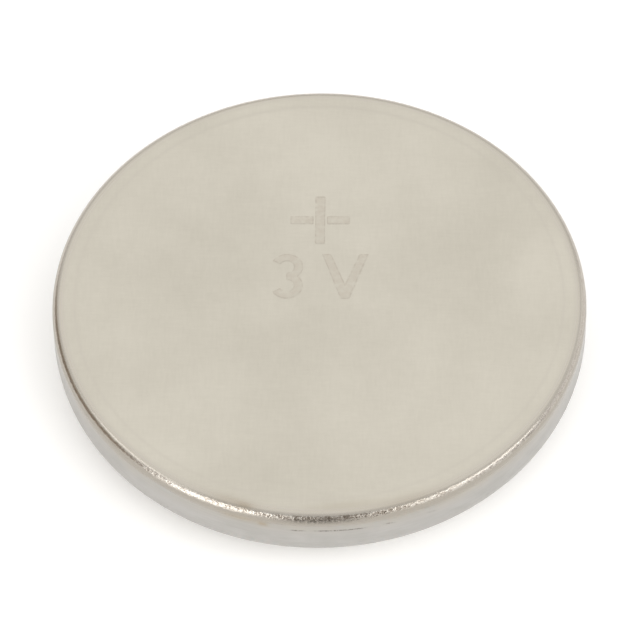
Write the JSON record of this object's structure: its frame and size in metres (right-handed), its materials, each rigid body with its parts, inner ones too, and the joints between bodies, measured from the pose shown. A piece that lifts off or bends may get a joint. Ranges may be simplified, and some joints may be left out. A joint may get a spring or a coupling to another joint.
{
  "type": "lithium coin cell",
  "caption": "Flat round lithium coin cell with a crimped steel can, a gasket, a raised negative terminal and its inner electrode stack.",
  "frame": {"origin": "centre of the negative terminal's face, on which the cell lies", "axes": "+Z up along the cell's axis, from the negative terminal to the positive face; +Y is up for the marks on that face"},
  "size_m": [0.02, 0.02, 0.0032],
  "materials": {
    "can_nickel": "satin nickel plate, faintly warm",
    "cap_nickel": "satin nickel plate",
    "gasket_plastic": "moulded polypropylene, slightly milky",
    "lithium": "soft dull metal",
    "separator_felt": "non-woven polypropylene",
    "pellet_black": "pressed powder, matt",
    "collector_steel": "pierced stainless steel sheet"
  },
  "bodies": {
    "root": {"positive_can": "can_nickel", "sealing_gasket": "gasket_plastic", "negative_cap": "cap_nickel", "lithium_anode": "lithium", "separator": "separator_felt", "cathode_pellet": "pellet_black", "cathode_collector": "collector_steel"}
  },
  "joints": []
}
